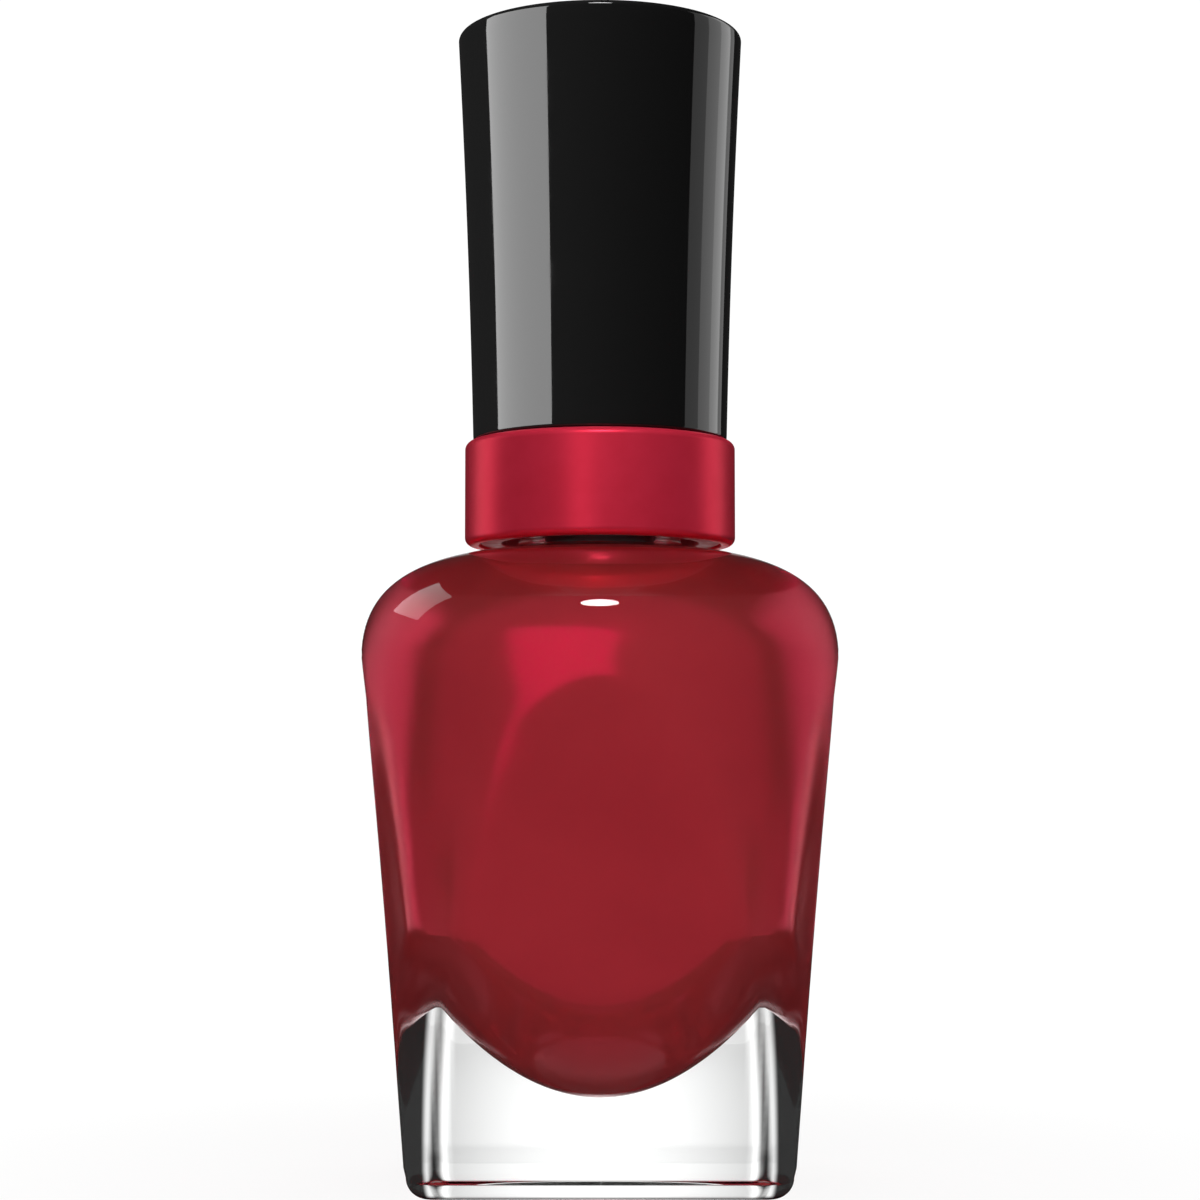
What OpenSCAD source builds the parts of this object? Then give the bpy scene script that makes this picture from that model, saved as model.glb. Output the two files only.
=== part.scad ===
// Square-shouldered nail polish bottle: thick glass bottle with lacquer inside, a threaded
// closure under a glossy overcap and shade ring, and a brush that hangs down the neck.
// Origin: centre of the base, on the surface the bottle stands on. +Z is up. Millimetres.

/* [Glass body] */
// Width across opposite flats at the base
base_w = 25.6; // [20:0.1:33]
// Diameter at the round shoulder, where the flats run out
shoulder_d = 33.6; // [30:0.2:44]
// Height of the widest point of the shoulder
shoulder_z = 36.7; // [28:0.1:50]
// Height from the widest point up to the foot of the neck
shoulder_rise = 7.15; // [5:0.05:10]
// How far the corners between flats swell beyond the shoulder radius
corner_swell = 1.2; // [0.8:0.1:2]
// Height at which the corners swell most
corner_swell_z = 15; // [8:0.5:20]
// Outward slope of a flat near the base
flat_slope = 0.078; // [0.03:0.001:0.09]
// Radius of the edge around the base
base_edge_r = 1.4; // [0.6:0.1:2]
// Depth of the shallow recess under the base
base_recess = 0.6; // [0.3:0.05:1]
// Width of the flat rim that the bottle stands on, at the middle of a side
base_rim_w = 1.7; // [1:0.1:3]

/* [Glass walls] */
// Wall behind a flat
flat_wall = 2.8; // [1.8:0.1:4]
// Wall behind a rounded corner
corner_wall = 3.4; // [2:0.1:4.5]
// Wall of the shoulder
shoulder_wall = 2.3; // [1.5:0.1:3]
// Thickness of the clear glass under the middle of the cavity
floor_t = 6.3; // [3:0.1:8]
// Steepness of the bowl-shaped cavity floor, rise in mm per mm of radius squared
bowl_k = 0.052; // [0.02:0.002:0.06]

/* [Neck] */
// Diameter of the plain neck between threads
neck_d = 11.5; // [10.5:0.1:14]
// Height of the glass thread above the plain neck
thread_h = 0.75; // [0.5:0.05:1]
// Height of the neck above the shoulder
neck_h = 11.3; // [9:0.1:14]
// Bore of the neck
bore_d = 6.6; // [6:0.1:8]
// Thread pitch, twelve turns to the inch
thread_pitch = 2.12; // [1.8:0.01:2.6]
// Number of turns of each thread, which is also how far the cap unscrews
thread_turns = 1.5; // [1:0.1:2]
// Plain stretch of neck between the rim and the thread
thread_top_gap = 1.3; // [0.8:0.1:2]
// Gap between the crests of the glass and closure threads
thread_gap = 0.1; // [0.05:0.01:0.2]

/* [Closure and cap] */
// Wall of the threaded closure
closure_wall = 0.95; // [0.7:0.05:1.4]
// Height of the closure's inner thread
closure_thread_h = 0.35; // [0.2:0.05:0.6]
// Thickness of the closure's roof
closure_roof_t = 1.4; // [1:0.1:2]
// Wall of the shade ring
ring_wall = 1.02; // [0.5:0.01:1.4]
// Height of the shade ring
ring_h = 7.35; // [6:0.05:9]
// Radius of the shade ring's edges
ring_edge_r = 0.55; // [0.3:0.05:0.8]
// Depth of the ring's inner lip, trapped between closure and overcap
ring_lip_t = 0.9; // [0.6:0.1:1.2]
// Air between the shoulder's top and the underside of the ring
ring_lift = 0.25; // [0.1:0.05:0.6]
// Height of the overcap above the ring
overcap_h = 29.2; // [22:0.1:36]
// Wall of the overcap at its rim, where it slips over the closure
overcap_rim_wall = 1.05; // [0.7:0.05:1.6]
// How much wider the overcap's radius is at its top than at its rim
overcap_taper = 1.15; // [0:0.05:2]
// Share of the overcap's taper that is a curve, the rest is straight
overcap_flare = 0.4; // [0:0.05:0.5]
// Radius of the overcap's top edge
overcap_edge_r = 0.42; // [0.2:0.02:1]
// Wall of the overcap's side and top
overcap_wall = 1.2; // [0.8:0.05:1.6]
// Number of ribs inside the overcap
rib_count = 6; // [4:1:10]
// Thickness of a rib
rib_t = 0.8; // [0.6:0.1:1.2]

/* [Brush and seal] */
// Diameter of the brush stem
stem_d = 3.5; // [3:0.1:4]
// How far the stem's flange stops short of the gasket's edge
flange_inset = 0.8; // [0.4:0.1:1.5]
// Thickness of the stem's flange
stem_flange_t = 1; // [0.6:0.1:1.6]
// Diameter of the stem's plug in the closure
plug_d = 4; // [3:0.1:5]
// Length of the boss that holds the plug
boss_h = 4; // [3:0.1:6]
// Wall of that boss
boss_wall = 1.35; // [0.8:0.05:2]
// Free length of the bristles
tuft_l = 14; // [8:0.1:16]
// Width of the tuft at its widest
tuft_w = 4.4; // [3.4:0.1:4.8]
// Thickness of the tuft at its widest
tuft_t = 3; // [2:0.1:3.4]
// Diameter of the hole in the stem that holds the tuft
socket_d = 2.5; // [2:0.1:2.6]
// Depth of that hole
socket_l = 2.6; // [2:0.1:4]
// Thickness of the metal staple that anchors the tuft
staple_t = 0.35; // [0.2:0.05:0.5]
// Height of the staple
staple_h = 1.4; // [1:0.1:2]
// Thickness of the sealing gasket
gasket_t = 0.8; // [0.4:0.1:1.2]

/* [Contents and label] */
// Diameter of a mixing ball
ball_d = 3.2; // [2.6:0.1:4]
// Thickness of the base label
label_t = 0.15; // [0.1:0.01:0.25]

/* [Fits] */
// Radial gap of parts that slip into one another
slip = 0.05; // [0.02:0.01:0.1]
// Radial gap around the gasket, and around the stem inside it
gasket_slip = 0.2; // [0.1:0.05:0.4]
// Room between the mixing balls and the tip of the brush
tip_gap = 2.1; // [1:0.1:6]
// Gap between the turning tuft and the lacquer around it
tuft_gap = 0.45; // [0.3:0.05:0.5]
// Gap between the two mixing balls
ball_gap = 0.04; // [0.02:0.01:0.1]

/* [Hidden] */
$fn = 96;

// Glass body
shoulder_r = shoulder_d / 2;
neck_foot_z = shoulder_z + shoulder_rise;
neck_r = neck_d / 2;
thread_r = neck_r + thread_h;
neck_fillet = 0.65;
neck_foot_r = neck_r + neck_fillet;
rim_z = neck_foot_z + neck_h;
rim_edge_r = 0.5;
thread_z = rim_z - thread_top_gap - thread_pitch * thread_turns;
bore_r = bore_d / 2;
recess_r = base_w / 2 - base_edge_r - base_rim_w;
curve_steps = 10;
arc_steps = 5;
over = 1;

// The flats meet the shoulder radius at its widest point: the cubic term makes up the rest
flat_flare = (shoulder_r - base_w / 2 - flat_slope * shoulder_z) / pow(shoulder_z, 3);

// Closure, from the thread outwards
closure_in_r = thread_r + thread_gap + closure_thread_h;
closure_r = closure_in_r + closure_wall;
ring_z = neck_foot_z + ring_lift;
ring_top_z = ring_z + ring_h;
overcap_in_r = closure_r + slip;
seat_step = 0.6;
seat_r = closure_r + seat_step;
ring_in_r = seat_r + slip;
ring_r = ring_in_r + ring_wall;
closure_z = ring_z + 0.15;
seat_z = ring_top_z - ring_lip_t - slip;

// Closure upwards: glass rim, gasket, stem flange, roof, boss
gasket_z = rim_z;
flange_z = gasket_z + gasket_t;
roof_z = flange_z + stem_flange_t;
roof_top_z = roof_z + closure_roof_t;
boss_top_z = roof_top_z + boss_h;
plug_r = plug_d / 2;
boss_r = plug_r + slip + boss_wall;
plug_head_h = 1;
plug_head_r = plug_r + 0.35;

// Overcap
overcap_top_z = ring_top_z + slip + overcap_h;
overcap_rim_z = ring_top_z + slip;
overcap_rim_r = overcap_in_r + overcap_rim_wall;
rib_z = roof_top_z + slip;

// Brush, from the tip upwards
stem_r = stem_d / 2;
gasket_r = closure_in_r - closure_thread_h - gasket_slip;
flange_r = gasket_r - flange_inset;
tuft_tip_z = floor_t + ball_d + tip_gap;
stem_end_z = tuft_tip_z + tuft_l;
tuft_well_r = tuft_w / 2 + tuft_gap;
tuft_layers = 4;
socket_r = socket_d / 2;
staple_z = stem_end_z + socket_l - staple_h;
staple_bite = 0.25;
staple_w = socket_d + 2 * staple_bite;

// Lacquer fills the cavity up to the foot of the neck
cavity_top_z = neck_foot_z - shoulder_wall;
cavity_shoulder_z = shoulder_z - shoulder_wall / 2;
cavity_shoulder_r = round_r(cavity_shoulder_z) - corner_wall;
cavity_foot_r = bore_r + 0.9;
well_floor_z = tuft_tip_z - tuft_gap;

// Mixing balls rest side by side on the bowl
ball_r = ball_d / 2;
ball_x = ball_r + ball_gap / 2;
ball_touch_x = ball_x / (1 - 2 * bowl_k * ball_r);
ball_slope = sqrt(1 + pow(2 * bowl_k * ball_touch_x, 2));
ball_z = bowl_z(ball_touch_x) + ball_r / ball_slope + ball_gap;

// Distance of a flat from the axis, inset by a wall
function flat_x(z, wall = 0) = base_w / 2 + flat_slope * z + flat_flare * pow(z, 3) - wall;

// Radius of the round body that the flats are pressed into, up to the shoulder
function round_r(z) =
    shoulder_r + corner_swell
    * (1 - pow((z - corner_swell_z) / (shoulder_z - corner_swell_z), 2));

// Height of the cavity's bowl-shaped floor at radius r
function bowl_z(r) = floor_t + bowl_k * r * r;

// Evenly spaced values from a to b
function span(a, b, steps) = [for (i = [0 : steps]) a + (b - a) * i / steps];

// Points of a circular arc, angles in degrees
function arc(x, z, r, from, to, steps = arc_steps) =
    [for (a = span(from, to, steps)) [x + r * cos(a), z + r * sin(a)]];

// Cubic Bezier curve through two end points with two handles
function bezier(p0, p1, p2, p3, steps = curve_steps) =
    [for (t = span(0, 1, steps))
        pow(1 - t, 3) * p0 + 3 * t * pow(1 - t, 2) * p1
        + 3 * t * t * (1 - t) * p2 + pow(t, 3) * p3];

// Dome of a shoulder from its widest point up and in to the neck
function dome(r0, z0, r1, z1) =
    let (rise = z1 - z0, run = r0 - r1)
    bezier([r0, z0], [r0 - 0.043 * rise, z0 + 0.7 * rise],
           [r1 + 0.565 * run, z1 - 0.056 * run], [r1, z1]);

// Radius of the overcap's outside at height z
function overcap_r(z) =
    let (t = (z - overcap_rim_z) / (overcap_top_z - overcap_rim_z))
    overcap_rim_r + overcap_taper
    * ((1 - overcap_flare) * t + overcap_flare * t * t);

// Everything outside one flat: the mould half that presses it, inset by a wall
module flat_cutter(wall, edge_r, top_z) {
    foot = flat_x(0, wall);
    edge = edge_r > 0
        ? arc(foot - edge_r, edge_r, edge_r, -90, 0)
        : [[foot, 0]];
    side = [for (z = span(edge_r, top_z, curve_steps)) [flat_x(z, wall), z]];
    far = 2 * shoulder_r;
    translate([0, far, 0])
        rotate([90, 0, 0])
            linear_extrude(2 * far)
                polygon(concat([[far, -over], [foot - edge_r, -over]], edge, side, [[far, top_z]]));
}

module press_flats(wall, edge_r, top_z) {
    difference() {
        children();
        for (a = [0 : 90 : 270])
            rotate([0, 0, a]) flat_cutter(wall, edge_r, top_z);
    }
}

// Space inside the glass below the neck, which the lacquer fills
module cavity() {
    wall_foot_r = round_r(shoulder_z / 2) - corner_wall;
    bowl = [for (r = span(0, wall_foot_r, curve_steps)) [r, bowl_z(r)]];
    wall = [for (z = span(bowl_z(wall_foot_r), cavity_shoulder_z, curve_steps))
        [round_r(z) - corner_wall, z]];
    top = dome(cavity_shoulder_r, cavity_shoulder_z, cavity_foot_r, cavity_top_z);
    press_flats(flat_wall, 0, shoulder_z)
        rotate_extrude()
            polygon(concat(bowl, wall, top, [[0, cavity_top_z]]));
}

// Right-hand helical ridge on a wall of radius root_r, out to crest_r, with its root sunk in the wall
module thread_ridge(root_r, crest_r, z0, root_w, crest_w) {
    steps = 24;
    out = crest_r > root_r ? 1 : -1;
    last = round(steps * thread_turns);
    sunk = 0.3;
    // The ridge fades out over its first and last eighth of a turn
    function fade(i) = min(1, min(i, last - i) / (steps / 8));
    function ring(i) =
        let (a = 360 * i / steps, z = z0 + thread_pitch * i / steps,
             crest = root_r + (crest_r - root_r) * max(fade(i), 0.02), root = root_r - out * sunk)
        [for (p = [[root, -root_w / 2], [crest, -crest_w / 2], [crest, crest_w / 2], [root, root_w / 2]])
            [p[0] * cos(a), p[0] * sin(a), z + p[1]]];
    side = [for (i = [0 : last - 1], j = [0 : 3], t = [0, 1])
        let (a = 4 * i + j, b = 4 * i + (j + 1) % 4)
        t == 0 ? [a, a + 4, b] : [b, a + 4, b + 4]];
    end = 4 * last;
    ends = [[0, 1, 2], [0, 2, 3], [end, end + 2, end + 1], [end, end + 3, end + 2]];
    faces = concat(side, ends);
    points = [for (i = [0 : last]) each ring(i)];
    polyhedron(points, out > 0 ? [for (f = faces) [f[2], f[1], f[0]]] : faces);
}

module glass_bottle() {
    corners = [for (z = span(base_edge_r, shoulder_z, curve_steps)) [round_r(z), z]];
    body = concat(
        [[0, base_recess], [recess_r - base_recess, base_recess], [recess_r, 0]],
        arc(round_r(0) - base_edge_r, base_edge_r, base_edge_r, -90, 0),
        [for (i = [1 : curve_steps - 1]) corners[i]],
        dome(shoulder_r, shoulder_z, neck_foot_r, neck_foot_z),
        arc(neck_foot_r, neck_foot_z + neck_fillet, neck_fillet, 270, 180),
        arc(neck_r - rim_edge_r, rim_z - rim_edge_r, rim_edge_r, 0, 90),
        [[0, rim_z]]
    );
    color("white", 0.35)
        difference() {
            union() {
                press_flats(0, base_edge_r, shoulder_z) rotate_extrude() polygon(body);
                thread_ridge(neck_r, thread_r, thread_z, 1.5, 0.6);
            }
            cavity();
            translate([0, 0, cavity_top_z - over])
                cylinder(h = neck_h + shoulder_wall + 2 * over, r = bore_r);
        }
}

module polish() {
    color("crimson")
        difference() {
            cavity();
            translate([0, 0, well_floor_z])
                cylinder(h = cavity_top_z - well_floor_z + over, r = tuft_well_r);
            mixing_balls();
        }
}

module mixing_balls() {
    color("silver")
        for (side = [-1, 1])
            translate([side * ball_x, 0, ball_z]) sphere(r = ball_r);
}

module base_label() {
    label_r = recess_r - base_recess - 0.8;
    color("whitesmoke")
        translate([0, 0, base_recess - label_t]) cylinder(h = label_t, r = label_r);
}

module sealing_gasket() {
    color("ivory")
        translate([0, 0, gasket_z])
            difference() {
                cylinder(h = gasket_t, r = gasket_r);
                translate([0, 0, -over]) cylinder(h = gasket_t + 2 * over, r = stem_r + gasket_slip);
            }
}

module shade_ring() {
    color("crimson")
        rotate_extrude()
            polygon(concat(
                [[ring_in_r, ring_z], [ring_in_r, ring_top_z - ring_lip_t],
                 [overcap_in_r, ring_top_z - ring_lip_t], [overcap_in_r, ring_top_z]],
                arc(ring_r - ring_edge_r, ring_top_z - ring_edge_r, ring_edge_r, 90, 0),
                arc(ring_r - ring_edge_r, ring_z + ring_edge_r, ring_edge_r, 0, -90)
            ));
}

module inner_cap() {
    roof_chamfer = 0.4;
    color("dimgray")
        union() {
            rotate_extrude()
                polygon([
                    [closure_in_r, closure_z], [seat_r, closure_z], [seat_r, seat_z], [closure_r, seat_z],
                    [closure_r, roof_top_z - roof_chamfer], [closure_r - roof_chamfer, roof_top_z],
                    [boss_r, roof_top_z], [boss_r, boss_top_z], [plug_r + slip, boss_top_z],
                    [plug_r + slip, roof_z], [closure_in_r, roof_z],
                ]);
            thread_ridge(closure_in_r, closure_in_r - closure_thread_h,
                         thread_z - thread_pitch / 2, 1.2, 0.5);
        }
}

module overcap() {
    side = [for (z = span(overcap_rim_z, overcap_top_z - overcap_edge_r, curve_steps)) [overcap_r(z), z]];
    edge_x = overcap_r(overcap_top_z - overcap_edge_r) - overcap_edge_r;
    hollow = [for (z = span(overcap_top_z - overcap_wall, rib_z, curve_steps))
        [overcap_r(z) - overcap_wall, z]];
    color("black")
        union() {
            rotate_extrude()
                polygon(concat(
                    [[overcap_in_r, overcap_rim_z]],
                    side,
                    arc(edge_x, overcap_top_z - overcap_edge_r, overcap_edge_r, 0, 90),
                    [[0, overcap_top_z], [0, overcap_top_z - overcap_wall]],
                    hollow,
                    [[overcap_in_r, rib_z]]
                ));
            for (i = [0 : rib_count - 1])
                rotate([0, 0, i * 360 / rib_count]) overcap_rib();
        }
}

// One rib from the overcap's wall in to the closure's boss, just above the closure's roof
module overcap_rib() {
    rib_in_r = boss_r + slip;
    foot_z = rib_z + 0.3;
    head_z = overcap_top_z - overcap_wall / 2;
    translate([0, rib_t / 2, 0])
        rotate([90, 0, 0])
            linear_extrude(rib_t)
                polygon([
                    [rib_in_r, foot_z], [overcap_r(foot_z) - overcap_wall / 2, foot_z],
                    [overcap_r(head_z) - overcap_wall / 2, head_z], [rib_in_r, head_z],
                ]);
}

module brush_stem() {
    shaft = [[0, stem_end_z], [stem_r - 0.2, stem_end_z], [stem_r, stem_end_z + 0.2], [stem_r, flange_z]];
    flange = [[flange_r, flange_z], [flange_r, roof_z], [plug_r, roof_z]];
    head = [[plug_r, boss_top_z + slip], [plug_head_r, boss_top_z + slip],
            [plug_r - 0.5, boss_top_z + slip + plug_head_h], [0, boss_top_z + slip + plug_head_h]];
    color("black")
        difference() {
            rotate_extrude() polygon(concat(shaft, flange, head));
            translate([0, 0, stem_end_z - over]) cylinder(h = socket_l + over, r = socket_r);
            staple_block();
        }
}

// Slot pressed across the stem's socket by the staple
module staple_block() {
    translate([-staple_w / 2, -staple_t / 2, staple_z]) cube([staple_w, staple_t, staple_h]);
}

module tuft_staple() {
    color("gold") staple_block();
}

// Bundle of bristles: round in its socket, flattened and widest near the rounded tip
module bristle_tuft() {
    bulge_z = stem_end_z - 0.7 * tuft_l;
    root_r = socket_r - slip;
    color("darkslategray") {
        difference() {
            translate([0, 0, stem_end_z - 0.1]) cylinder(h = socket_l + 0.1, r = root_r);
            translate([-tuft_w, -staple_t / 2, staple_z]) cube([2 * tuft_w, staple_t, staple_h + over]);
        }
        hull() {
            translate([0, 0, stem_end_z - 0.2]) cylinder(h = 0.2, r = root_r, $fn = 32);
            translate([0, 0, bulge_z]) tuft_slice(1);
            for (i = [1 : tuft_layers])
                translate([0, 0, tuft_tip_z + (bulge_z - tuft_tip_z) * (1 - sin(90 * i / tuft_layers))])
                    tuft_slice(cos(80 * i / tuft_layers));
        }
    }
}

module tuft_slice(share) {
    scale([share * tuft_w, share * tuft_t, 1]) cylinder(h = 0.01, d = 1, $fn = 32);
}

glass_bottle();
polish();
mixing_balls();
base_label();
sealing_gasket();
shade_ring();
inner_cap();
overcap();
brush_stem();
bristle_tuft();
tuft_staple();
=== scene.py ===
import math
import random

import bmesh
import bpy
from mathutils import Matrix, Vector


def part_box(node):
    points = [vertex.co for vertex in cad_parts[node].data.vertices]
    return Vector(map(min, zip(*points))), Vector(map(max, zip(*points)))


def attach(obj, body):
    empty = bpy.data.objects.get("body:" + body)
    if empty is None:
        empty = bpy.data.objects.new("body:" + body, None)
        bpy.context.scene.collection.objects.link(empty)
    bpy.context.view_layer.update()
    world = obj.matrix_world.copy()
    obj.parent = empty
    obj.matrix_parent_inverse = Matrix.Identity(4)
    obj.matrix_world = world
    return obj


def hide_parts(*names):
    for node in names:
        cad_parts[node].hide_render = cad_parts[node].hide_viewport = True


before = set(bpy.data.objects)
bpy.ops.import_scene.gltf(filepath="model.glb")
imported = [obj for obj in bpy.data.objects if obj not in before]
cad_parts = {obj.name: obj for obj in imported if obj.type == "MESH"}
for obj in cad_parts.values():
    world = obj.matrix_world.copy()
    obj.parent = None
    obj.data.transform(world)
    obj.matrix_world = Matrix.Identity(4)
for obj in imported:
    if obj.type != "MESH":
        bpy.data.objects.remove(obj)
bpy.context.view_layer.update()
scene = bpy.context.scene

# ---------------------------------------------------------------------------
# Camera. It stands low in front of the bottle, near the middle of the glass,
# and looks up a little, so the cap's rim and the ring show their undersides.
# ---------------------------------------------------------------------------
MM = 0.001
camera = bpy.data.objects.new("camera", bpy.data.cameras.new("camera"))
camera.location = (0, -194.2 * MM, 26.5 * MM)
camera.rotation_euler = (math.radians(90 + 4.06), 0, 0)
camera.data.lens = 82.5
camera.data.sensor_width = 36
camera.data.clip_start = 0.02
camera.data.clip_end = 20
scene.collection.objects.link(camera)
scene.camera = camera

# ---------------------------------------------------------------------------
# Studio. A pale matt table that runs out to white, a tall soft box on the left,
# a graded one behind on the right, and one small lamp high in front.
# ---------------------------------------------------------------------------
scene.view_settings.view_transform = "Standard"


def linked(tree, source, target):
    tree.links.new(source, target)


def ramp(tree, source, low, high, to_low=0.0, to_high=1.0, smooth=True):
    """The number at source, from low..high to to_low..to_high, as a socket."""
    node = tree.nodes.new("ShaderNodeMapRange")
    node.interpolation_type = "SMOOTHSTEP" if smooth else "LINEAR"
    for name, value in (("From Min", low), ("From Max", high), ("To Min", to_low), ("To Max", to_high)):
        node.inputs[name].default_value = value
    linked(tree, source, node.inputs["Value"])
    return node.outputs["Result"]


def place_along(tree, axis, coordinates="Object"):
    """One coordinate of the point being shaded, as a socket."""
    where = tree.nodes.new("ShaderNodeTexCoord")
    split = tree.nodes.new("ShaderNodeSeparateXYZ")
    linked(tree, where.outputs[coordinates], split.inputs[0])
    return split.outputs[axis]


table_shape = bmesh.new()
bmesh.ops.create_circle(table_shape, cap_ends=True, radius=2.5, segments=96)
table_mesh = bpy.data.meshes.new("table")
table_shape.to_mesh(table_mesh)
table_shape.free()
table = bpy.data.objects.new("table", table_mesh)
scene.collection.objects.link(table)
table.location.z = -0.02 * MM
table.visible_glossy = False
table_top = bpy.data.materials.new("pale_table")
table_top.use_nodes = True
tree = table_top.node_tree
matt = tree.nodes["Principled BSDF"]
matt.inputs["Base Color"].default_value = (0.86, 0.86, 0.86, 1)
matt.inputs["Roughness"].default_value = 0.7
matt.inputs["Specular IOR Level"].default_value = 0.1
white = tree.nodes.new("ShaderNodeEmission")
white.inputs["Strength"].default_value = 1.05
runs_out = tree.nodes.new("ShaderNodeMixShader")
where = tree.nodes.new("ShaderNodeTexCoord")
reach = tree.nodes.new("ShaderNodeVectorMath")
reach.operation = "LENGTH"
linked(tree, where.outputs["Object"], reach.inputs[0])
linked(tree, ramp(tree, reach.outputs["Value"], 0.02, 0.10, 0.8, 1.0), runs_out.inputs["Fac"])
linked(tree, matt.outputs[0], runs_out.inputs[1])
linked(tree, white.outputs[0], runs_out.inputs[2])
polished = tree.nodes.new("ShaderNodeBsdfGlossy")
polished.inputs["Color"].default_value = (1, 1, 1, 1)
polished.inputs["Roughness"].default_value = 0.08
ray = tree.nodes.new("ShaderNodeLightPath")
either = tree.nodes.new("ShaderNodeMixShader")
linked(tree, ray.outputs["Is Camera Ray"], either.inputs["Fac"])
linked(tree, polished.outputs[0], either.inputs[1])
linked(tree, runs_out.outputs[0], either.inputs[2])
# From below the table is clear, so that the foot of the bottle can be seen.
side_of = tree.nodes.new("ShaderNodeNewGeometry")
clear = tree.nodes.new("ShaderNodeBsdfTransparent")
one_sided = tree.nodes.new("ShaderNodeMixShader")
linked(tree, side_of.outputs["Backfacing"], one_sided.inputs["Fac"])
linked(tree, either.outputs[0], one_sided.inputs[1])
linked(tree, clear.outputs[0], one_sided.inputs[2])
linked(tree, one_sided.outputs[0], tree.nodes["Material Output"].inputs["Surface"])
table_mesh.materials.append(table_top)

world = bpy.data.worlds.new("studio")
scene.world = world
world.use_nodes = True
tree = world.node_tree
room = tree.nodes["Background"]
room.inputs["Color"].default_value = (1, 1, 1, 1)
seen = tree.nodes.new("ShaderNodeBackground")
seen.inputs["Color"].default_value = (1, 1, 1, 1)
seen.inputs["Strength"].default_value = 1.05
ray = tree.nodes.new("ShaderNodeLightPath")
either = tree.nodes.new("ShaderNodeMixShader")
linked(tree, ray.outputs["Is Camera Ray"], either.inputs["Fac"])
linked(tree, room.outputs[0], either.inputs[1])
linked(tree, seen.outputs[0], either.inputs[2])
linked(tree, either.outputs[0], tree.nodes["World Output"].inputs["Surface"])
sideways = tree.nodes.new("ShaderNodeMath")
sideways.operation = "ABSOLUTE"
linked(tree, place_along(tree, "X", "Generated"), sideways.inputs[0])
across = ramp(tree, sideways.outputs[0], 0.0, 0.12, 1.3, 0.02)
upward = ramp(tree, place_along(tree, "Z", "Generated"), 0.35, 0.65, 1.0, 0.0)
backward = ramp(tree, place_along(tree, "Y", "Generated"), 0.0, 0.3)
cloth = tree.nodes.new("ShaderNodeMath")
cloth.operation = "MULTIPLY"
linked(tree, across, cloth.inputs[0])
linked(tree, upward, cloth.inputs[1])
hung = tree.nodes.new("ShaderNodeMath")
hung.operation = "MULTIPLY"
linked(tree, cloth.outputs[0], hung.inputs[0])
linked(tree, backward, hung.inputs[1])
# Through the glass, the camera's side of the room is pale too, for the other views.
forward = ramp(tree, place_along(tree, "Y", "Generated"), 0.0, 0.25, 0.45, 0.0)
through = tree.nodes.new("ShaderNodeMath")
through.operation = "MULTIPLY"
linked(tree, forward, through.inputs[0])
linked(tree, ramp(tree, ray.outputs["Transmission Depth"], 0, 1), through.inputs[1])
either_side = tree.nodes.new("ShaderNodeMath")
linked(tree, hung.outputs[0], either_side.inputs[0])
linked(tree, through.outputs[0], either_side.inputs[1])
linked(tree, either_side.outputs[0], room.inputs["Strength"])


def lamp(name, angle, rise, far, width, height, bright, facing=(0, 0, 0.04)):
    """A flat lamp at an angle from the camera's side, far from the axis, that shines bright."""
    light = bpy.data.lights.new(name, "AREA")
    light.shape = "RECTANGLE"
    light.size, light.size_y = width, height
    light.energy = bright * width * height * math.pi
    made = bpy.data.objects.new(name, light)
    scene.collection.objects.link(made)
    turn = math.radians(angle)
    made.location = (far * math.sin(turn), -far * math.cos(turn), rise)
    made.rotation_euler = (Vector(facing) - made.location).to_track_quat("-Z", "Y").to_euler()
    made.visible_camera = False
    made.visible_transmission = False
    return made


def only_for(light, *pieces, alone=False):
    """Lights just these pieces; alone, nothing else stands in its way either."""
    group = bpy.data.collections.new(light.name + "_lit")
    for piece in pieces:
        group.objects.link(piece)
    light.light_linking.receiver_collection = group
    if alone:
        light.light_linking.blocker_collection = group


def gloss_only(light, piece):
    """Shows in one piece's gloss, straight through the glass, and adds no flat light."""
    only_for(light, piece, alone=True)
    light.visible_diffuse = False
    light.data.cycles.use_multiple_importance_sampling = False


oval_lamp = lamp("oval_lamp", 0, 0.57, 0.50, 0.20, 0.12, 20)
oval_lamp.data.shape = "ELLIPSE"
overhead = lamp("overhead_lamp", 180, 0.80, 0.05, 0.60, 0.60, 4, (0, 0, 0))
overhead.visible_glossy = False
soft_fill = lamp("fill_lamp", 0, 0.45, 1.0, 1.4, 0.9, 1.9)
soft_fill.visible_glossy = False
body_fill = lamp("body_fill", 0, -0.05, 1.0, 1.4, 0.9, 1.05)
back_fill = lamp("back_fill", 180, 0.05, 1.0, 1.4, 0.9, 1.6)
under_fill = lamp("under_fill", 0, -0.50, 0.30, 0.60, 0.60, 1.5)
under_fill.visible_glossy = False
for light in (body_fill, back_fill):
    light.visible_glossy = False
    light.data.cycles.use_multiple_importance_sampling = False
left_box = lamp("left_box", -120, 0.22, 0.60, 0.54, 0.70, 6.5, (0, 0, 0.12))
right_box = lamp("right_box", 121, 0.22, 0.60, 0.52, 0.70, 8.0, (0, 0, 0.12))
window_box = lamp("window_box", -18, 0.29, 0.60, 0.58, 0.48, 2.8)
pale_box = lamp("pale_box", -116, 0.42, 0.60, 0.34, 0.28, 1.7)
strip_box = lamp("strip_box", -73.5, 0.20, 0.60, 0.70, 0.60, 5.5, (0, 0, 0.20))
ring_strip = lamp("ring_strip", -16, 0.05, 0.60, 0.16, 0.60, 0.8)
ring_left = lamp("ring_left", -114, 0.05, 0.60, 0.30, 0.60, 1.0)
ring_right = lamp("ring_right", 112, 0.05, 0.60, 0.30, 0.60, 0.85)
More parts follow.
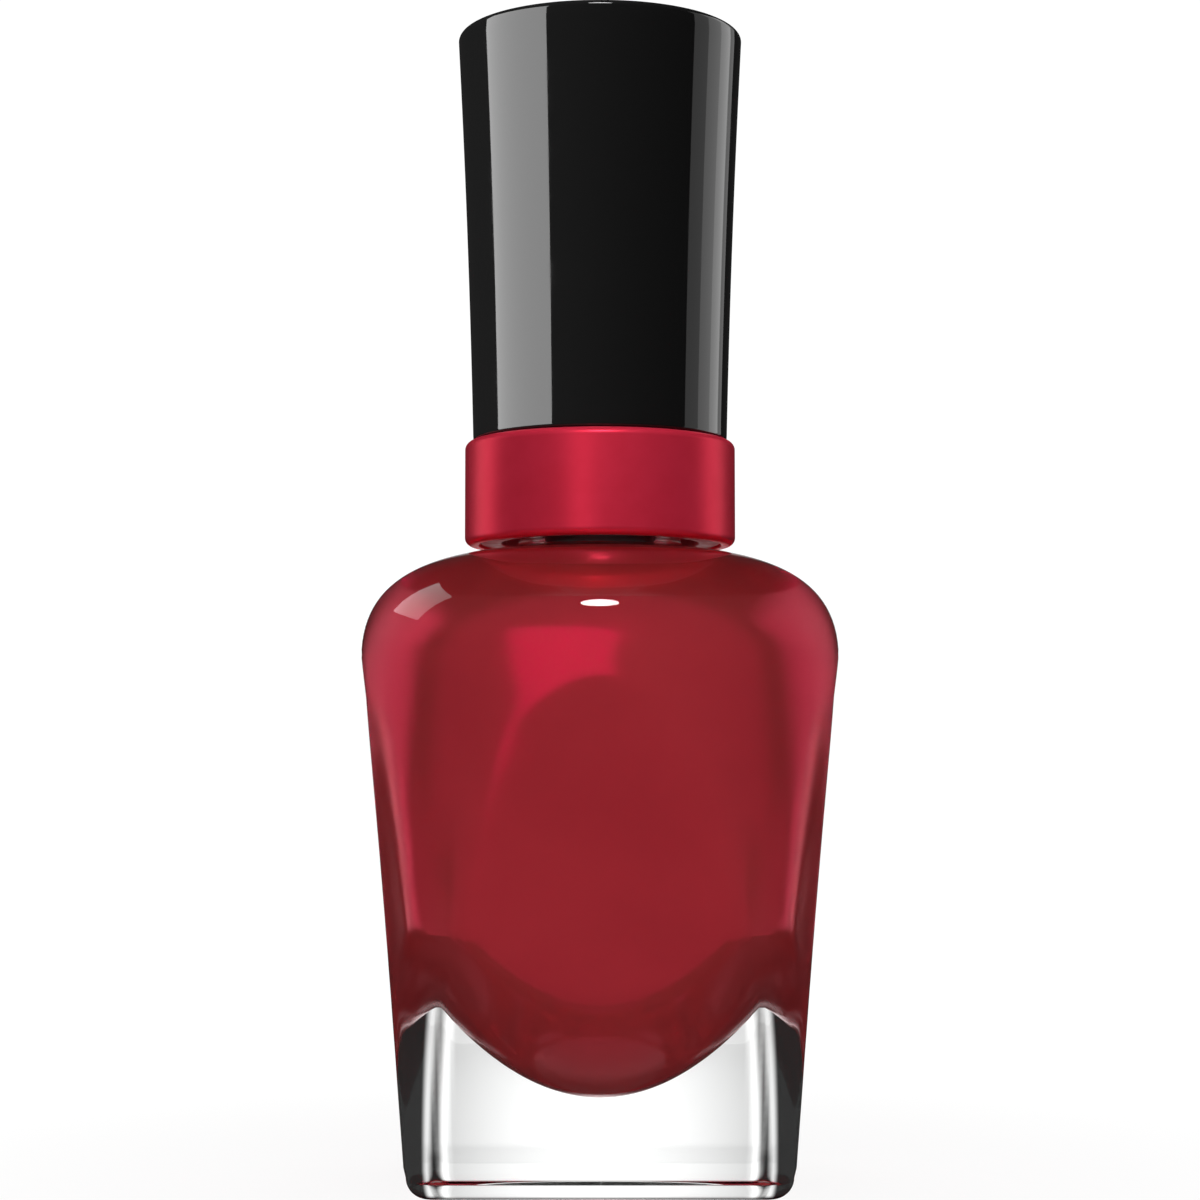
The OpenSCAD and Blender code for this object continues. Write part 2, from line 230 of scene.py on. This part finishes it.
edge_boxes = [lamp("edge_box", angle, 0.18, 0.60, width, 0.70, bright, (0, 0, 0.18))
              for angle, width, bright in ((111, 0.68, 0.65), (115, 0.37, 0.7), (123, 0.17, 0.6))]

# ---------------------------------------------------------------------------
# Glass bottle. One thick pressed body of clear soda-lime glass: square at the foot,
# round at the shoulder, with a bowl-shaped cavity and a thread on its neck.
# ---------------------------------------------------------------------------
glass_low, glass_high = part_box("glass_bottle")
shoulder_r = glass_high.x
rim_z = glass_high.z
base_half = 12.8 * MM
shoulder_z = 36.7 * MM
neck_foot_z = 43.85 * MM
corner_swell = 1.2 * MM
corner_swell_z = 15 * MM
flat_slope = 0.078
base_edge_r = 1.4 * MM
base_recess = 0.6 * MM
recess_r = 9.7 * MM
flat_wall = 2.8 * MM
corner_wall = 3.4 * MM
shoulder_wall = 2.3 * MM
floor_t = 6.3 * MM
bowl_k = 0.052 / MM
neck_r = 5.75 * MM
neck_fillet = 0.65 * MM
bore_r = 3.3 * MM
thread_h = 0.75 * MM
thread_z = 50.67 * MM
thread_pitch = 2.12 * MM
thread_turns = 1.5
soft_edge = 0.9 * MM

flat_flare = (shoulder_r - base_half - flat_slope * shoulder_z) / shoulder_z**3
cavity_top_z = neck_foot_z - shoulder_wall
cavity_foot_r = bore_r + 0.9 * MM
cavity_shoulder_z = shoulder_z - shoulder_wall / 2


def flat_x(z, wall=0.0):
    """Distance of a flat from the axis, inset by a wall."""
    return base_half + flat_slope * z + flat_flare * z**3 - wall


def round_r(z):
    """Radius of the round body that the flats are pressed into."""
    rise = (z - corner_swell_z) / (shoulder_z - corner_swell_z)
    return shoulder_r + corner_swell * (1 - rise * rise)


def bowl_z(r):
    """Height of the cavity's floor at radius r."""
    return floor_t + bowl_k * r * r


def span(low, high, steps):
    """Evenly spaced values from low to high, both included."""
    return [low + (high - low) * i / steps for i in range(steps + 1)]


def arc(x, z, r, start, end, steps=6):
    """Points of a circular arc, angles in degrees."""
    return [(x + r * math.cos(math.radians(a)), z + r * math.sin(math.radians(a)))
            for a in span(start, end, steps)]


def dome(r0, z0, r1, z1, steps=26):
    """The shoulder's curve from its widest point up and in to the neck."""
    rise, run = z1 - z0, r0 - r1
    handles = [(r0, z0), (r0 - 0.043 * rise, z0 + 0.7 * rise), (r1 + 0.565 * run, z1 - 0.056 * run), (r1, z1)]
    weights = [((1 - t)**3, 3 * t * (1 - t)**2, 3 * t * t * (1 - t), t**3) for t in span(0, 1, steps)]
    return [tuple(sum(w * p[i] for w, p in zip(ws, handles)) for i in (0, 1)) for ws in weights]


def turned(points, steps=256):
    """A profile of (radius, height) points spun once round the axis."""
    shape = bmesh.new()
    line = [shape.verts.new((r, 0, z)) for r, z in points]
    for a, b in zip(line, line[1:]):
        shape.edges.new((a, b))
    bmesh.ops.spin(shape, geom=shape.verts[:] + shape.edges[:], cent=(0, 0, 0), axis=(0, 0, 1),
                   angle=2 * math.pi, steps=steps, use_merge=True)
    bmesh.ops.remove_doubles(shape, verts=shape.verts, dist=0.0001 * MM)
    bmesh.ops.recalc_face_normals(shape, faces=shape.faces)
    return shape


def soft_min(a, b, reach):
    """The smaller of two lengths, eased over reach where they are close."""
    near = max(reach - abs(a - b), 0)
    return min(a, b) - (near * near / (4 * reach) if reach > 0 else 0)


def press_flats(verts, wall, edge_r=0.0):
    """Moves what stands outside the four flats in to them, with eased edges."""
    for v in verts:
        z = max(v.co.z, 0)
        if z >= shoulder_z:
            continue
        flat = flat_x(z, wall)
        if z < edge_r:
            flat = flat_x(0, wall) - edge_r + math.sqrt(edge_r**2 - (edge_r - z)**2)
        room_left = round_r(z) - (corner_wall if wall else 0) - flat
        reach = min(soft_edge, max(room_left, 0))
        for i in (0, 1):
            side = v.co[i]
            v.co[i] = math.copysign(soft_min(abs(side), flat, reach), side)


def thread_height(angle, z, start_z, root_w, crest_w):
    """How high a right-hand thread stands at an angle and height, from 0 to 1."""
    best = 0.0
    for lap in range(2):
        turns = angle / (2 * math.pi) + lap
        if 0 <= turns <= thread_turns:
            fade = min(1, min(turns, thread_turns - turns) * 8)
            off = abs(z - start_z - thread_pitch * turns)
            slope = (root_w / 2 - off) / ((root_w - crest_w) / 2)
            slope = min(max(slope, 0), 1)
            best = max(best, fade * slope * slope * (3 - 2 * slope))
    return best


def placed(shape, name, finish, body, slot, *nodes, crease=32):
    """Turns a finished bmesh into a piece that rides a body and stands for CAD nodes."""
    mesh = bpy.data.meshes.new(name)
    shape.to_mesh(mesh)
    shape.free()
    mesh.shade_smooth()
    mesh.set_sharp_from_angle(angle=math.radians(crease))
    mesh.materials.append(finish)
    made = bpy.data.objects.new(name, mesh)
    scene.collection.objects.link(made)
    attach(made, body)
    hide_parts(*nodes)
    return made


def finish_of(name, colour, **sockets):
    """A Principled material with plain socket values, its node tree and its shader."""
    made = bpy.data.materials.new(name)
    made.use_nodes = True
    skin = made.node_tree.nodes["Principled BSDF"]
    skin.inputs["Base Color"].default_value = (*colour, 1)
    for socket, value in sockets.items():
        skin.inputs[socket.replace("_", " ")].default_value = value
    return made, made.node_tree, skin


def mottle(tree, size, detail=2.0, stretch=(1, 1, 1)):
    """Noise on the piece's own coordinates, with blotches about size across, as a socket."""
    where = tree.nodes.new("ShaderNodeTexCoord")
    turn = tree.nodes.new("ShaderNodeMapping")
    turn.inputs["Scale"].default_value = stretch
    noise = tree.nodes.new("ShaderNodeTexNoise")
    noise.inputs["Scale"].default_value = 1 / size
    noise.inputs["Detail"].default_value = detail
    linked(tree, where.outputs["Object"], turn.inputs["Vector"])
    linked(tree, turn.outputs["Vector"], noise.inputs["Vector"])
    return noise.outputs["Fac"]


def dimple(tree, skin, source, depth, strength=1.0):
    """Bump from a number, depth metres high."""
    bump = tree.nodes.new("ShaderNodeBump")
    bump.inputs["Distance"].default_value = depth
    bump.inputs["Strength"].default_value = strength
    linked(tree, source, bump.inputs["Height"])
    linked(tree, bump.outputs["Normal"], skin.inputs["Normal"])


def tint(tree, skin, source, first, second):
    """Base colour that goes from first to second as a number goes from 0 to 1."""
    mix = tree.nodes.new("ShaderNodeMix")
    mix.data_type = "RGBA"
    mix.inputs["A"].default_value = (*first, 1)
    mix.inputs["B"].default_value = (*second, 1)
    linked(tree, source, mix.inputs["Factor"])
    linked(tree, mix.outputs["Result"], skin.inputs["Base Color"])


def cavity_line(grow=0.0):
    """The cavity's profile from the neck down to the middle of the floor."""
    shoulder = round_r(cavity_shoulder_z) - corner_wall
    top = dome(shoulder, cavity_shoulder_z, cavity_foot_r, cavity_top_z)[::-1]
    foot_r = round_r(shoulder_z / 2) - corner_wall
    wall = [(round_r(z) - corner_wall, z) for z in span(cavity_shoulder_z, bowl_z(foot_r), 30)]
    floor = [(r, bowl_z(r)) for r in span(foot_r, 0, 40)]
    line = top + wall[1:] + floor[1:]
    return [(r + grow if r else 0, z - (grow if r < foot_r * 0.98 else 0)) for r, z in line]


foot = arc(round_r(0) - base_edge_r, base_edge_r, base_edge_r, -90, 0, 10)
side = [(round_r(z), z) for z in span(base_edge_r, shoulder_z, 52)]
neck_top = rim_z - 0.5 * MM
outside = (
    [(0, base_recess), (4 * MM, base_recess)]
    + arc(recess_r - base_recess - 0.25 * MM, base_recess - 0.25 * MM, 0.25 * MM, 90, 45, 4)
    + arc(recess_r + 0.2 * MM, 0.2 * MM, 0.2 * MM, 225, 270, 4)
    + foot + side[1:]
    + dome(shoulder_r, shoulder_z, neck_r + neck_fillet, neck_foot_z)[1:]
    + arc(neck_r + neck_fillet, neck_foot_z + neck_fillet, neck_fillet, 270, 180, 10)[1:]
    + [(neck_r, z) for z in span(45 * MM, neck_top, 60)]
    + arc(neck_r - 0.5 * MM, neck_top, 0.5 * MM, 0, 90, 8)[1:]
)
inside = (
    arc(bore_r + 0.3 * MM, rim_z - 0.3 * MM, 0.3 * MM, 90, 180, 6)
    + [(bore_r, z) for z in span(54 * MM, cavity_top_z + 0.6 * MM, 12)]
    + arc(bore_r + 0.6 * MM, cavity_top_z + 0.6 * MM, 0.6 * MM, 180, 260, 6)[1:]
)
outer_count = len(outside)
glass = turned(outside)
for v in glass.verts:
    z = v.co.z
    if neck_foot_z + 3 * MM < z < neck_top:
        height = thread_height(math.atan2(v.co.y, v.co.x) % (2 * math.pi), z, thread_z, 1.5 * MM, 0.6 * MM)
        out = (neck_r + thread_h * height) / neck_r
        v.co.x *= out
        v.co.y *= out
press_flats(glass.verts, 0, base_edge_r)
hollow = turned(inside + cavity_line())
press_flats(hollow.verts, flat_wall)
# The inside's faces point into the hollow, and its rim is then joined to the outside's.
bmesh.ops.reverse_faces(hollow, faces=hollow.faces)
hollow_mesh = bpy.data.meshes.new("hollow")
hollow.to_mesh(hollow_mesh)
hollow.free()
glass.from_mesh(hollow_mesh)
bpy.data.meshes.remove(hollow_mesh)
bmesh.ops.bridge_loops(glass, edges=[e for e in glass.edges if e.is_boundary])
bmesh.ops.recalc_face_normals(glass, faces=glass.faces)

clear_glass, tree, skin = finish_of(
    "clear_glass", (0.985, 0.992, 0.988), Transmission_Weight=1.0, IOR=1.5, Roughness=0.0)
linked(tree, ramp(tree, mottle(tree, 6 * MM), 0.55, 0.75, 0.0, 0.012), skin.inputs["Roughness"])
dimple(tree, skin, mottle(tree, 9 * MM, 1.0), 0.02 * MM, 0.25)
bottle_glass = placed(glass, "bottle_glass", clear_glass, "bottle", "clear_glass", "glass_bottle")
bottle_glass.visible_shadow = False

# ---------------------------------------------------------------------------
# Lacquer. Deep red nail lacquer that wets the whole cavity up to the neck, with
# fine pearl in it, so that light lies on it as soft saturated patches.
# ---------------------------------------------------------------------------
fill = [(0, cavity_top_z - 0.05 * MM)] + cavity_line(0.02 * MM)
lacquer = turned(fill)
press_flats(lacquer.verts, flat_wall - 0.02 * MM)
red_lacquer, tree, skin = finish_of(
    "red_lacquer", (0.42, 0.040, 0.044), Roughness=0.15, IOR=2.4)
skin.inputs["Specular Tint"].default_value = (1.0, 0.0, 0.08, 1)
tint(tree, skin, ramp(tree, mottle(tree, 10 * MM, 3.0), 0.3, 0.7), (0.40, 0.038, 0.041), (0.44, 0.042, 0.046))
linked(tree, ramp(tree, mottle(tree, 0.4 * MM, 2.0), 0.3, 0.7, 0.13, 0.17), skin.inputs["Roughness"])
lacquer_body = placed(lacquer, "lacquer", red_lacquer, "bottle", "red_lacquer", "polish")

# ---------------------------------------------------------------------------
# Mixing balls. Two loose polished steel balls that lie on the bowl-shaped floor,
# under the lacquer, and stir it when the bottle is shaken.
# ---------------------------------------------------------------------------
ball_steel, tree, skin = finish_of("ball_steel", (0.62, 0.61, 0.60), Metallic=1.0, Roughness=0.12)
linked(tree, ramp(tree, mottle(tree, 0.5 * MM, 4.0), 0.35, 0.7, 0.06, 0.22), skin.inputs["Roughness"])
low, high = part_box("mixing_balls")
ball_d = high.z - low.z
balls = bmesh.new()
for x in (low.x + ball_d / 2, high.x - ball_d / 2):
    made = bmesh.ops.create_icosphere(balls, subdivisions=4, radius=ball_d / 2)
    bmesh.ops.translate(balls, verts=made["verts"], vec=(x, 0, (low.z + high.z) / 2))
placed(balls, "steel_balls", ball_steel, "bottle", "steel", "mixing_balls")

# ---------------------------------------------------------------------------
# Base label. A round blank film stuck up into the recess under the foot, with its
# cut edge slightly rolled.
# ---------------------------------------------------------------------------
low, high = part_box("base_label")
film_t = high.z - low.z
film_line = [(0, low.z)] + arc(high.x - film_t / 2, low.z + film_t / 2, film_t / 2, -90, 90, 6) + [(0, high.z)]
film = turned(film_line, 128)
label_film, tree, skin = finish_of("label_film", (0.8, 0.8, 0.79), Roughness=0.45)
tint(tree, skin, mottle(tree, 1.2 * MM, 4.0), (0.74, 0.74, 0.73), (0.84, 0.84, 0.83))
dimple(tree, skin, mottle(tree, 0.25 * MM, 3.0), 0.01 * MM)
placed(film, "blank_label", label_film, "bottle", "label_film", "base_label")

# ---------------------------------------------------------------------------
# Sealing gasket. A soft white foam washer, punched from sheet, that the stem's
# flange presses onto the glass rim.
# ---------------------------------------------------------------------------
low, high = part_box("sealing_gasket")
hole_r = 1.95 * MM
edge = 0.12 * MM
washer_line = (
    arc(high.x - edge, low.z + edge, edge, -90, 0, 4) + arc(high.x - edge, high.z - edge, edge, 0, 90, 4)
    + arc(hole_r + edge, high.z - edge, edge, 90, 180, 4) + arc(hole_r + edge, low.z + edge, edge, 180, 270, 4)
)
washer = turned(washer_line + washer_line[:1], 128)
gasket_foam, tree, skin = finish_of("gasket_foam", (0.82, 0.81, 0.77), Roughness=0.85)
tint(tree, skin, mottle(tree, 0.5 * MM, 3.0), (0.74, 0.72, 0.68), (0.86, 0.85, 0.82))
dimple(tree, skin, mottle(tree, 0.18 * MM, 2.0), 0.05 * MM)
placed(washer, "foam_washer", gasket_foam, "seal", "gasket_foam", "sealing_gasket")

# ---------------------------------------------------------------------------
# Shade ring. A drawn aluminium ring dyed satin red to match the lacquer; its inner
# lip is trapped between the closure's seat and the overcap.
# ---------------------------------------------------------------------------
low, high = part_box("shade_ring")
ring_r = high.x
ring_in_r = 8.55 * MM
lip_in_r = 7.95 * MM
lip_z = high.z - 0.9 * MM
ring_edge = 0.55 * MM
small = 0.15 * MM
ring_line = (
    arc(ring_r - ring_edge, low.z + ring_edge, ring_edge, -90, 0, 8)
    + arc(ring_r - ring_edge, high.z - ring_edge, ring_edge, 0, 90, 8)
    + arc(lip_in_r + small, high.z - small, small, 90, 180, 4)
    + [(lip_in_r, lip_z), (ring_in_r, lip_z)]
    + arc(ring_in_r + small, low.z + small, small, 180, 270, 4)
)
ring = turned(ring_line + ring_line[:1])
ring_metal, tree, skin = finish_of("ring_metal", (1.0, 0.04, 0.09), Metallic=0.55, Roughness=0.36, Specular_IOR_Level=0.05)
tint(tree, skin, ramp(tree, mottle(tree, 2.5 * MM, 4.0), 0.3, 0.7), (0.96, 0.038, 0.085), (1.0, 0.042, 0.095))
linked(tree, ramp(tree, mottle(tree, 0.3 * MM, 4.0, (1, 1, 6)), 0.3, 0.7, 0.30, 0.40), skin.inputs["Roughness"])
red_ring = placed(ring, "red_ring", ring_metal, "ring", "ring_metal", "shade_ring")

# ---------------------------------------------------------------------------
# Inner closure. The moulded polypropylene cap that screws onto the neck; the ring
# and the overcap are pressed onto it, and it holds the brush in a boss.
# ---------------------------------------------------------------------------
low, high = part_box("inner_cap")
seat_r = high.x
closure_in_r = 6.95 * MM
closure_r = 7.9 * MM
seat_z = 50.5 * MM
roof_z = 56.95 * MM
roof_top_z = 58.35 * MM
boss_r = 3.4 * MM
plug_hole_r = 2.05 * MM
inner_thread_h = 0.35 * MM
inner_thread_z = thread_z - thread_pitch / 2
closure_line = (
    arc(closure_in_r + small, low.z + small, small, 180, 270, 4)
    + arc(seat_r - small, low.z + small, small, -90, 0, 4)
    + [(seat_r, seat_z), (closure_r, seat_z)]
    + arc(closure_r - 0.4 * MM, roof_top_z - 0.4 * MM, 0.4 * MM, 0, 90, 6)
    + [(boss_r, roof_top_z), (boss_r, high.z), (plug_hole_r, high.z), (plug_hole_r, roof_z)]
    + [(closure_in_r, roof_z)] + [(closure_in_r, z) for z in span(roof_z - 0.2 * MM, low.z + 0.4 * MM, 70)]
)
closure = turned(closure_line + closure_line[:1])
for v in closure.verts:
    if abs(math.hypot(v.co.x, v.co.y) - closure_in_r) < 0.01 * MM and v.co.z < roof_z - 0.1 * MM:
        height = thread_height(math.atan2(v.co.y, v.co.x) % (2 * math.pi), v.co.z, inner_thread_z,
                               1.2 * MM, 0.5 * MM)
        out = (closure_in_r - inner_thread_h * height) / closure_in_r
        v.co.x *= out
        v.co.y *= out
closure_plastic, tree, skin = finish_of("closure_plastic", (0.22, 0.015, 0.02), Roughness=0.4)
tint(tree, skin, mottle(tree, 3 * MM, 3.0), (0.20, 0.013, 0.018), (0.24, 0.017, 0.022))
linked(tree, ramp(tree, mottle(tree, 0.6 * MM, 3.0), 0.3, 0.7, 0.32, 0.5), skin.inputs["Roughness"])
closure_piece = placed(closure, "closure", closure_plastic, "cap", "closure_plastic", "inner_cap")

# ---------------------------------------------------------------------------
# Overcap. A tall gloss black moulded shell that flares gently to its flat top,
# pushed over the closure, with six ribs inside that grip the boss.
# ---------------------------------------------------------------------------
low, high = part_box("overcap")
cap_rim_z, cap_top_z = low.z, high.z
cap_rim_r = 9.0 * MM
cap_in_r = 7.95 * MM
cap_taper = 1.15 * MM
cap_flare = 0.4
cap_edge = 0.42 * MM
cap_wall = 1.2 * MM
rib_z = roof_top_z + 0.05 * MM


def cap_r(z):
    """Radius of the overcap's outside at a height."""
    t = (z - cap_rim_z) / (cap_top_z - cap_rim_z)
    return cap_rim_r + cap_taper * ((1 - cap_flare) * t + cap_flare * t * t)


cap_edge_z = cap_top_z - cap_edge
cap_line = (
    arc(cap_in_r + small, cap_rim_z + small, small, 180, 270, 4)
    + arc(cap_rim_r - 0.25 * MM, cap_rim_z + 0.25 * MM, 0.25 * MM, -90, 0, 6)
    + [(cap_r(z), z) for z in span(cap_rim_z + 0.4 * MM, cap_edge_z, 40)]
    + arc(cap_r(cap_edge_z) - cap_edge, cap_edge_z, cap_edge, 0, 90, 10)[1:]
    + [(0, cap_top_z), (0, cap_top_z - cap_wall)]
    + [(cap_r(z) - cap_wall, z) for z in span(cap_top_z - cap_wall, rib_z, 24)]
    + [(cap_in_r, rib_z)]
)
overcap = turned(cap_line + cap_line[:1])
rib_in_r = boss_r + 0.05 * MM
rib_t = 0.8 * MM
for i in range(6):
    made = bmesh.ops.create_cube(overcap, size=1)
    for v in made["verts"]:
        z = rib_z + 0.3 * MM if v.co.z < 0 else cap_top_z - cap_wall / 2
        v.co = (rib_in_r if v.co.x < 0 else cap_r(z) - cap_wall / 2, v.co.y * rib_t, z)
    bmesh.ops.rotate(overcap, verts=made["verts"], cent=(0, 0, 0), matrix=Matrix.Rotation(i * math.pi / 3, 3, "Z"))
cap_plastic, tree, skin = finish_of(
    "cap_plastic", (0.008, 0.008, 0.008), Roughness=0.06, IOR=1.5)
linked(tree, ramp(tree, mottle(tree, 4 * MM, 4.0), 0.4, 0.8, 0.03, 0.08), skin.inputs["Roughness"])
dimple(tree, skin, mottle(tree, 3 * MM, 1.0), 0.01 * MM, 0.3)
gloss_overcap = placed(overcap, "gloss_overcap", cap_plastic, "cap", "cap_plastic", "overcap")

# ---------------------------------------------------------------------------
# Brush stem. A moulded rod with a flange that seals on the gasket and a plug that
# snaps through the closure's boss; below the neck it is wet with lacquer.
# ---------------------------------------------------------------------------
low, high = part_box("brush_stem")
stem_r = 1.75 * MM
flange_z = 55.95 * MM
flange_r = high.x
plug_r = 2.0 * MM
socket_r = 1.25 * MM
socket_l = 2.6 * MM
stem_line = (
    [(0, low.z + socket_l), (socket_r, low.z + socket_l), (socket_r, low.z)]
    + arc(stem_r - 0.2 * MM, low.z + 0.2 * MM, 0.2 * MM, -90, 0, 5)
    + [(stem_r, flange_z - 0.2 * MM), (stem_r + 0.15 * MM, flange_z)]
    + arc(flange_r - small, flange_z + small, small, -90, 0, 4)
    + arc(flange_r - small, roof_z - small, small, 0, 90, 4)
    + [(plug_r, roof_z), (plug_r, 62.4 * MM), (2.35 * MM, 62.4 * MM), (1.5 * MM, high.z), (0, high.z)]
)
stem = turned(stem_line, 96)
stem_plastic, tree, skin = finish_of("stem_plastic", (0.02, 0.02, 0.02), Roughness=0.3)
height = place_along(tree, "Z")
drip = tree.nodes.new("ShaderNodeMath")
drip.operation = "MULTIPLY_ADD"
drip.inputs[1].default_value = 5 * MM
linked(tree, mottle(tree, 3 * MM, 1.0, (1, 1, 0.2)), drip.inputs[0])
linked(tree, height, drip.inputs[2])
wet = ramp(tree, drip.outputs[0], 43.6 * MM, 44.0 * MM, 1.0, 0.0)
tint(tree, skin, wet, (0.016, 0.016, 0.017), (0.36, 0.008, 0.014))
linked(tree, ramp(tree, wet, 0, 1, 0.35, 0.08), skin.inputs["Roughness"])
dimple(tree, skin, wet, 0.06 * MM)
placed(stem, "brush_rod", stem_plastic, "cap", "stem_plastic", "brush_stem")

# ---------------------------------------------------------------------------
# Bristles. Fine nylon filaments folded over a staple, round where they leave the
# stem and flattened near the rounded tip, loaded with lacquer.
# ---------------------------------------------------------------------------
low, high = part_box("bristle_tuft")
tip_z = low.z
stem_end_z = 25.6 * MM
tuft_l = stem_end_z - tip_z
tuft_half_w = high.x
tuft_half_t = high.y
root_z = stem_end_z + 2.2 * MM
filament_r = 0.055 * MM
draw = random.Random(7)
strand = bmesh.new()
bmesh.ops.create_cone(strand, segments=5, radius1=1, radius2=1, depth=1, cap_ends=True)
bmesh.ops.subdivide_edges(strand, cuts=6,
                          edges=[e for e in strand.edges if abs(e.verts[0].co.z - e.verts[1].co.z) > 0.5])
strand_mesh = bpy.data.meshes.new("strand")
strand.to_mesh(strand_mesh)
strand.free()
tuft = bmesh.new()
for i in range(420):
    angle = draw.uniform(0, 2 * math.pi)
    share = math.sqrt(draw.uniform(0, 1)) * 0.94
    across, deep = share * math.cos(angle), share * math.sin(angle)
    reach = math.sqrt(max(1 - across * across * 0.85 - deep * deep * 0.5, 0.02))
    end_z = stem_end_z - tuft_l * (0.72 + 0.28 * reach) + draw.uniform(0, 0.25) * MM
    end_z = max(end_z, tip_z + 0.02 * MM)
    stray = draw.uniform(0.97, 1.0)
    tuft.from_mesh(strand_mesh)
    tuft.verts.ensure_lookup_table()
    for v in tuft.verts[-len(strand_mesh.vertices):]:
        t = 0.5 - v.co.z
        z = root_z + (end_z - root_z) * t
        fall = min(max((stem_end_z - z) / (0.7 * tuft_l), 0), 1)
        fan = fall * fall * (3 - 2 * fall)
        close = 1 - 0.30 * max((stem_end_z - z) / tuft_l - 0.75, 0) / 0.25
        half_w = socket_r * 0.9 + (tuft_half_w * 0.93 - socket_r * 0.9) * fan
        half_t = socket_r * 0.9 + (tuft_half_t * 0.93 - socket_r * 0.9) * fan
        thin = filament_r * (1 - 0.5 * max(t - 0.9, 0) / 0.1)
        v.co = (across * half_w * close * stray + v.co.x * thin, deep * half_t * close * stray + v.co.y * thin, z)
bpy.data.meshes.remove(strand_mesh)
bristle_nylon, tree, skin = finish_of("bristle_nylon", (0.03, 0.02, 0.02), Roughness=0.3)
loaded = ramp(tree, place_along(tree, "Z"), 17.6 * MM, 25.1 * MM, 1.0, 0.55)
streak = tree.nodes.new("ShaderNodeMath")
streak.operation = "MULTIPLY"
linked(tree, loaded, streak.inputs[0])
linked(tree, ramp(tree, mottle(tree, 0.5 * MM, 2.0, (1, 1, 0.08)), 0.25, 0.45), streak.inputs[1])
tint(tree, skin, streak.outputs[0], (0.025, 0.012, 0.012), (0.40, 0.009, 0.016))
linked(tree, ramp(tree, streak.outputs[0], 0, 1, 0.45, 0.12), skin.inputs["Roughness"])
placed(tuft, "bristles", bristle_nylon, "cap", "bristle_nylon", "bristle_tuft")

# ---------------------------------------------------------------------------
# Staple. A short bite of stainless strip driven across the stem's socket, which
# holds the folded filaments.
# ---------------------------------------------------------------------------
low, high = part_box("tuft_staple")
staple = bmesh.new()
bmesh.ops.create_cube(staple, size=1)
bmesh.ops.scale(staple, vec=high - low, verts=staple.verts)
bmesh.ops.translate(staple, vec=(low + high) / 2, verts=staple.verts)
bmesh.ops.bevel(staple, geom=staple.edges[:], offset=0.06 * MM, segments=2, profile=0.5,
                affect="EDGES", material=-1)
staple_metal, tree, skin = finish_of("staple_metal", (0.60, 0.57, 0.50), Metallic=1.0, Roughness=0.3)
linked(tree, ramp(tree, mottle(tree, 0.2 * MM, 3.0, (1, 1, 0.2)), 0.3, 0.7, 0.2, 0.42), skin.inputs["Roughness"])
placed(staple, "staple", staple_metal, "cap", "staple_metal", "tuft_staple")

# ---------------------------------------------------------------------------
# Linked lamps. The glossy cap, the ring and the lacquer each have a lamp or two of
# their own, placed where that piece shows them.
# ---------------------------------------------------------------------------
gloss_only(left_box, lacquer_body)
gloss_only(right_box, lacquer_body)
gloss_only(window_box, lacquer_body)
apart = (lacquer_body, bottle_glass, table)
solid_pieces = [o for o in scene.objects if o.type == "MESH" and o not in apart]
only_for(oval_lamp, bottle_glass, *solid_pieces)
only_for(overhead, table, *solid_pieces)
only_for(soft_fill, table, *solid_pieces)
only_for(pale_box, bottle_glass)
only_for(body_fill, lacquer_body, alone=True)
only_for(back_fill, lacquer_body, gloss_overcap, red_ring, alone=True)
only_for(under_fill, closure_piece, alone=True)
only_for(strip_box, gloss_overcap)
for light in edge_boxes:
    only_for(light, gloss_overcap)
for light in (ring_strip, ring_left, ring_right):
    only_for(light, red_ring)
